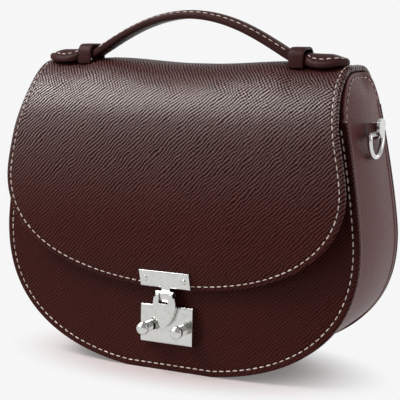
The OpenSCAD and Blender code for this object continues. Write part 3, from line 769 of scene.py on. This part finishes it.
def seam_turn(back):
    """The gusset's edge where it turns out behind a panel."""
    top = 148.8 if back else PANEL_TOP
    lines = {inset: [(-x, z) for x, z in reversed(body_half(inset, top))] + body_half(inset, top)[1:]
             for inset in (0.0, 0.12, 0.5, 3.0, 5.6)}
    near, far = -PANEL_T - 0.02, -PANEL_T - GUSSET_T
    section = [(5.6, near), (3.0, near), (0.5, near), (0.12, near - 0.15), (0.0, near - 0.5),
               (0.0, far + 0.5), (0.12, far + 0.15), (0.5, far), (3.0, far), (5.6, far), (5.6, near)]

    def place(column, row):
        inset, out = section[row]
        x, z = lines[inset][column]
        return on_panel(x, z, out, back), (x, z)

    obj = woven_grid(len(lines[0.0]) - 1, len(section) - 1, place,
                     lambda column, row: 1 if 2 <= row <= 6 else 0)
    clean(obj)
    return obj


turns = [seam_turn(False), seam_turn(True)]
alone(gusset)
for turn in turns:
    turn.select_set(True)
bpy.ops.object.join()
finish_piece(gusset, "gusset_leather", "root", [gusset_leather, dark_edge_paint_and_shade, lining],
             ["gusset"])
for name, side in (("left", -1), ("right", 1)):
    row = [(-25.4, 143.8), (-22.0, 143.8), (-21.1, 144.6), (-21.0, 147)] + ear_line(3.1)
    sew(name + "_ear_stitches", [wall_face(y, wall_at(side, z), 0.02) for y, z in row], "root")

# Handle: the arch, its two flared ends and the keepers
end_start = (61.59, STRAP_FOOT)
arch_half = [(0.0, ARCH_TOP)] + cubic((0, ARCH_TOP), (27, ARCH_TOP), (47.59, 184.3), end_start, 40)
end_path = cubic(end_start, (66.63, 174.8), (70.5, STRAP_LOW), (93.4, STRAP_LOW), 40)
END = Track([end_start] + end_path)
arch_line = arch_half + [p for p in end_path if p[0] < 65.0]
ARCH = Track([(-x, z) for x, z in reversed(arch_line)] + arch_line[1:])


def strap_section(half_w, half_t, crown=0.2):
    """Closed section of the strap as (across, rise, finish), clockwise from the top's middle."""
    groove = half_w - 2.3
    top = [(0, crown), (groove * 0.4, crown - 0.08), (groove * 0.75, crown - 0.4),
           (groove - 0.45, crown - 0.72), (groove, crown - 1.12), (groove + 0.45, crown - 1.1),
           (half_w - 1.0, crown - 1.35)]
    right = [(a, half_t + b, 0) for a, b in top]
    right += [(half_w - 0.35, half_t - 1.55, 1), (half_w - 0.03, half_t - 2.0, 1), (half_w, -0.1, 1),
              (half_w - 0.16, 0.0, 1), (half_w, -0.5, 1), (half_w - 0.03, 1.0 - half_t, 1),
              (half_w - 0.35, 0.3 - half_t, 1), (half_w - 1.1, -half_t, 0), (0, -half_t, 0)]
    return right + [(-a, b, f) for a, b, f in reversed(right[1:-1])] + [right[0]]


section = strap_section(STRAP_W / 2, STRAP_T / 2)
arch_steps = 110


def arch_place(column, row):
    s = ARCH.length * column / arch_steps
    (x, z), (nx, nz) = ARCH.point(s), ARCH.side(s)
    across, rise, _ = section[row]
    return (x - nx * rise, HANDLE_Y + across, z - nz * rise), (s, across)


strap = woven_grid(arch_steps, len(section) - 1, arch_place, lambda column, row: section[row][2])
clean(strap)
finish_piece(strap, "handle_strap", "flap", [strap_leather, dark_edge_paint_and_shade], ["handle_arch"])
seams = []
for side, name in ((-1, "front"), (1, "back")):
    line = []
    for i in range(arch_steps + 1):
        s = mix(7.0, ARCH.length - 7.0, i / arch_steps)
        (x, z), (nx, nz) = ARCH.point(s), ARCH.side(s)
        line.append((x - nx * 1.5, HANDLE_Y + side * 4.2, z - nz * 1.5))
    seams.append(sew(f"handle_{name}_stitches", line, "flap"))
for piece in [strap] + seams:
    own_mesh(piece)


def pad_outline():
    """Plan of a flared end, as distances from the handle's line."""
    flare = cubic((70.5, 6.5), (74.9, 11.5), (92.3, 11.5), (93.4, 0.0), 28)
    half = [(62.6, 0.0), (62.7, 2.5), (62.9, 4.6), (63.4, 5.9), (64.3, 6.35)]
    half += [(65 + 5.5 * i / 5, 6.42) for i in range(6)] + flare
    return half[:-1] + [(93.4, 0.0)] + [(x, -y) for x, y in reversed(half[1:-1])]


PAD_DROOP, PAD_DOME, PAD_RIM = 0.026, 3.0, 1.5


def pad_face(side):
    """A padded end: its front edge droops towards the flap, and its top is domed within a lower rim."""
    def surface(x, y, out):
        centre = END.point(END.where(0, min(x, 93.3)))[1]
        dome = -PAD_DROOP * max(-y - 2, 0) ** 2 * ease((x - 66) / 5) * ease((98 - x) / 14)
        if out > -2:
            rise = PAD_DOME * max(1 - (y / 9.4) ** 2, 0) * ease((95 - x) / 12) - PAD_RIM
            dome += rise * ease((x - 66) / 5)
        return (side * x, HANDLE_Y + y, centre + STRAP_T / 2 + out + dome)
    return surface


KEEPER_Z, KEEPER_W, KEEPER_H = CROWN_Z + 4.4, 16.8, 11.0
pad_edge = pad_outline()
pad_rings = leather_rings(STRAP_T, 7, reach=5.0, groove=2.3, round_r=1.3, back_steps=6, back=0)
for name, side in (("left", -1), ("right", 1)):
    pad = skin(lambda inset: drawn_in(pad_edge, inset), (80.0, 0.0), pad_rings, pad_face(side))
    finish_piece(pad, name + "_handle_pad", name + "_handle_end", [strap_leather, dark_edge_paint_and_shade],
                 [name + "_handle_end"])
    row = [p for p in drawn_in(pad_edge, 2.3) if p[0] > 71.0]
    sew(name + "_pad_stitches", [pad_face(side)(x, y, 0.0) for x, y in row], name + "_handle_end",
        pitch=3.9, length=2.8)

    # Keeper: a block without its bottom and ends, rounded over the strap and thickened inwards
    alone()
    bpy.ops.mesh.primitive_cube_add(size=1, location=(side * KEEPER_X * MM, HANDLE_Y * MM, KEEPER_Z * MM),
                                    scale=(KEEPER_LEN * MM, KEEPER_W * MM, KEEPER_H * MM))
    keeper = bpy.context.object
    bpy.ops.object.transform_apply()
    pick(keeper, "FACE", lambda face: abs(face.normal.x) > 0.9 or face.normal.z < -0.9)
    bpy.ops.mesh.delete(type="FACE")
    bpy.ops.object.mode_set(mode="OBJECT")
    corners = [v.co.copy() for v in keeper.data.vertices]
    pick(keeper, "EDGE", lambda e: all(corners[i].z > (CROWN_Z + 9) * MM for i in e.vertices)
         and abs(corners[e.vertices[0]].x - corners[e.vertices[1]].x) > 5 * MM)
    bpy.ops.mesh.bevel(offset=5.4 * MM, segments=10)
    bpy.ops.object.mode_set(mode="OBJECT")
    wall = keeper.modifiers.new("thickness", "SOLIDIFY")
    wall.thickness = 1.6 * MM
    wall.offset = -1
    soft = keeper.modifiers.new("soft edge", "BEVEL")
    soft.width = 0.45 * MM
    soft.segments = 3
    soft.limit_method = "ANGLE"
    soft.angle_limit = math.radians(50)
    alone(keeper)
    bpy.ops.object.modifier_apply(modifier="thickness")
    bpy.ops.object.modifier_apply(modifier="soft edge")
    finish_piece(keeper, name + "_keeper_leather", "flap", [strap_leather],
                 [name + "_keeper"])


# Metal parts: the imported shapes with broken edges
def polished(node, body, width, material=bright_nickel, angle=28):
    alone()
    source = nodes[node]
    obj = bpy.data.objects.new(node + "_metal", source.data.copy())
    bpy.context.scene.collection.objects.link(obj)
    alone(obj)
    bpy.ops.object.mode_set(mode="EDIT")
    bpy.ops.mesh.select_all(action="SELECT")
    bpy.ops.mesh.remove_doubles(threshold=0.002 * MM)
    bpy.ops.mesh.dissolve_limited(angle_limit=math.radians(1.5))
    bpy.ops.object.mode_set(mode="OBJECT")
    broken = obj.modifiers.new("broken edge", "BEVEL")
    broken.width = width * MM
    broken.segments = 3
    broken.limit_method = "ANGLE"
    broken.angle_limit = math.radians(angle)
    broken.use_clamp_overlap = True
    bpy.ops.object.modifier_apply(modifier="broken edge")
    finish_piece(obj, node + "_metal", body, [material], [node], smooth=35)
    alone(obj)
    even = obj.modifiers.new("even shading", "WEIGHTED_NORMAL")
    even.keep_sharp = True
    bpy.ops.object.modifier_apply(modifier="even shading")
    alone()
    return obj


polished("lock_plate", "root", 0.2)
polished("hasp_plate", "flap", 0.16)
polished("hasp_rivets", "flap", 0.2)
polished("hasp", "hasp", 0.22)
polished("hasp_pin", "hasp", 0.2, nickel_with_painted_dark_reflection)
polished("left_ring_post", "root", 0.6, ring_nickel)
polished("right_ring_post", "root", 0.6, ring_nickel)


# Knobs: a profile turned about an axis square to the front panel
KNOB_X, KNOB_UP, PROUD, KNOB_LEN, KNOB_R = 10.6, 25.6, 4.0, 9.8, 3.6
# The stem rows are painted near black: painted dark reflection, the knob's plating being bright all over.
STEM_ROWS = 24  # rows of the profile up to the head, in the darker metal


def knob_profile():
    """Radius and distance out from the lock plate."""
    points = [(0, -1.0), (1.8, -1.0), (1.8, 0.15)]
    at = 0.15
    for _ in range(3):
        points += [(2.4, at), (2.8, at + 0.1), (3.0, at + 0.3), (3.0, at + 0.75), (2.8, at + 0.95)]
        points += [(2.45, at + 1.1), (2.4, at + 1.4)]
        at += 1.7
    head = KNOB_LEN - 3.5
    points += [(2.4, head - 0.1), (2.6, head), (3.3, head), (3.5, head + 0.1), (KNOB_R, head + 0.3)]
    points += [(KNOB_R, head + 2.2), (3.5, head + 2.6), (3.25, head + 2.85), (2.7, head + 3.1)]
    points += [(1.5, head + 3.4), (0, head + 3.5)]
    return points


def knob(name, side):
    profile, turns = knob_profile(), 40

    def place(column, row):
        radius, out = profile[row]
        angle = 2 * math.pi * column / turns
        return on_panel(side * KNOB_X + radius * math.cos(angle), KNOB_UP + radius * math.sin(angle),
                        PROUD + out), (column, row)

    obj = woven_grid(turns, len(profile) - 1, place, lambda column, row: 1 if row < STEM_ROWS else 0)
    clean(obj)
    return finish_piece(obj, name + "_knob_metal", name + "_knob", [bright_nickel, nickel_with_painted_dark_reflection],
                        [name + "_knob"], smooth=38)


knob("left", -1)
knob("right", 1)


def strap_ring(name, side):
    """A round wire bent to a bar, two legs and a bow."""
    bow = 12.0 - WIRE_R
    corner = 1.6
    line = [(-bow + corner + (2 * bow - 2 * corner) * i / 12, 0.0) for i in range(13)]
    line += [(bow - corner + corner * math.sin(a), -corner + corner * math.cos(a))
             for a in (math.radians(18 * i) for i in range(1, 6))]
    line += [(bow * math.cos(a), -2 - bow * math.sin(a))
             for a in (math.radians(6 * i) for i in range(31))]
    line += [(-bow + corner - corner * math.cos(a), -corner + corner * math.sin(a))
             for a in (math.radians(18 * i) for i in range(0, 5))]

    def place(column, row):
        (ay, az), (by, bz) = line[column % len(line) - 1], line[(column + 1) % len(line)]
        length = math.hypot(by - ay, bz - az)
        py, pz = line[column % len(line)]
        turn = 2 * math.pi * row / 20
        off = WIRE_R * math.cos(turn)
        return ((side * (RING_X + WIRE_R * math.sin(turn)), py + (bz - az) / length * off,
                 RING_Z + pz - (by - ay) / length * off), (column, row))

    obj = woven_grid(len(line), 20, place)
    clean(obj)
    return finish_piece(obj, name + "_ring_wire", name + "_ring", [ring_nickel],
                        [name + "_ring"], smooth=60)


strap_ring("left", -1)
strap_ring("right", 1)

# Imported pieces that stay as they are
KEPT_AS_PACKED = {
    lining: ("front_lining", "back_lining", "gusset_lining"),
    board: ("base_board",),
    inner_steel: ("lock_back_plate", "lock_screws", "ring_screws", "hasp_back_plate", "left_jaw",
                  "right_jaw"),
}
for material, names in KEPT_AS_PACKED.items():
    for node in names:
        nodes[node].data.materials.clear()
        nodes[node].data.materials.append(material)

# Camera, as the photograph was taken
azimuth, elevation = math.radians(26.53), math.radians(9.28)
level = math.cos(elevation)
back = Vector((math.sin(azimuth) * level, -math.cos(azimuth) * level, math.sin(elevation)))
bpy.ops.object.camera_add(location=(0.30269, -0.60387, 0.20272))
camera = bpy.context.object
camera.rotation_mode = "QUATERNION"
camera.rotation_quaternion = back.to_track_quat("Z", "Y")
camera.data.lens = 106.2
camera.data.sensor_width = 36
camera.data.clip_start, camera.data.clip_end = 0.01, 20
bpy.context.scene.camera = camera


# Studio
def lamp(name, place, target, width, height, watts, spread=180):
    bpy.ops.object.light_add(type="AREA", location=place)
    light = bpy.context.object
    light.name = name
    light.data.shape = "RECTANGLE"
    light.data.size, light.data.size_y = width, height
    light.data.energy = watts
    light.data.spread = math.radians(spread)
    light.rotation_mode = "QUATERNION"
    light.rotation_quaternion = (Vector(target) - Vector(place)).to_track_quat("-Z", "Y")
    return light


lamp("key", (-0.58, -0.38, 0.90), (-0.12, -0.03, 0.15), 0.60, 0.54, 1.2, 42)
lamp("side_fill", (1.15, -0.10, 0.55), (0.08, 0, 0.08), 0.9, 1.0, 4.0)
lamp("front_fill", (-0.95, -0.95, 0.35), (-0.14, 0, 0.08), 0.8, 0.6, 0.6, 60)
lamp("back_fill", (0.15, 1.30, 0.50), (0, 0.03, 0.08), 1.0, 0.7, 2.0)

alone()
bpy.ops.mesh.primitive_plane_add(size=1.6, location=(0, 0.35, 0))
floor = bpy.context.object
floor.name = "floor"
bpy.ops.object.transform_apply()
paper = Finish("floor_paper", roughness=0.9)
# Pinkish paper colour: painted reddish light bounced off the leather.
paper.set("Base Color", (0.60, 0.49, 0.48, 1))
x, y, z = paper.axes(paper.place())
# Inside this ellipse the lit paper shows, darker than the white glow around it: the real shadow plus a
# painted shade under the bag.
SHADE_W, SHADE_D, SHADE_Y = 78, 42, -10  # half sizes and middle of the shaded paper under the bag, in mm
away = ((x * (1 / SHADE_W)) ** 2.0 + ((y - SHADE_Y) * (1 / SHADE_D)) ** 2.0) ** 0.5
path = paper.node("ShaderNodeLightPath").socket.node.outputs
camera_ray, glossy_ray, clear_ray = (Value(paper, path[f"Is {kind} Ray"])
                                     for kind in ("Camera", "Glossy", "Transmission"))
seen = camera_ray + glossy_ray + clear_ray
glow = paper.node("ShaderNodeEmission", {"Color": (0.925, 0.925, 0.93, 1), "Strength": 1.0})
blend = paper.node("ShaderNodeMixShader", {0: (away.step(0.7, 1.6) * 0.82 + 0.18) * seen,
                                           1: Value(paper, paper.shader.outputs[0]), 2: glow})
paper.tree.links.new(blend.socket, paper.tree.nodes["Material Output"].inputs["Surface"])
floor.data.materials.append(paper.material)

# World: plain for diffuse light, white where it is seen, and a dimmer studio in mirrors facing the camera
world = bpy.data.worlds.new("studio")
bpy.context.scene.world = world
world.use_nodes = True
sky = world.node_tree


def sky_node(kind, *values, operation=None):
    made = sky.nodes.new(kind)
    if operation:
        made.operation = operation
    for socket, value in zip(made.inputs, values):
        if isinstance(value, bpy.types.NodeSocket):
            sky.links.new(value, socket)
        elif value is not None:
            socket.default_value = value
    return made.outputs[0]


def sky_step(value, low, high):
    made = sky.nodes.new("ShaderNodeMapRange")
    made.interpolation_type = "SMOOTHSTEP"
    made.inputs["From Min"].default_value, made.inputs["From Max"].default_value = low, high
    sky.links.new(value, made.inputs["Value"])
    return made.outputs[0]


tone = (0.925, 0.925, 0.93, 1)
plain = sky_node("ShaderNodeBackground", tone, 0.20)
white = sky_node("ShaderNodeBackground", tone, 1.0)
dim = sky_node("ShaderNodeBackground", tone, 0.42)
look = sky.nodes.new("ShaderNodeTexCoord").outputs["Generated"]
split = sky_node("ShaderNodeSeparateXYZ", look).node.outputs
ray = sky.nodes.new("ShaderNodeLightPath").outputs
behind = sky_step(split[1], -0.35, 0.25)
low = sky_node("ShaderNodeMath", sky_step(split[2], -0.08, 0.12), -0.72, operation="MULTIPLY")
above = sky_node("ShaderNodeMath", low, 1.0, operation="ADD")
shown = sky_node("ShaderNodeMath", behind, above, operation="MULTIPLY")
mirror = sky_node("ShaderNodeMixShader", shown, dim, white)
mirrored = sky_node("ShaderNodeMixShader", ray["Is Glossy Ray"], plain, mirror)
direct = sky_node("ShaderNodeMath", ray["Is Camera Ray"], ray["Is Transmission Ray"], operation="MAXIMUM")
surface = sky_node("ShaderNodeMixShader", direct, mirrored, white)
sky.links.new(surface, sky.nodes["World Output"].inputs["Surface"])

bpy.context.scene.view_settings.view_transform = "Standard"
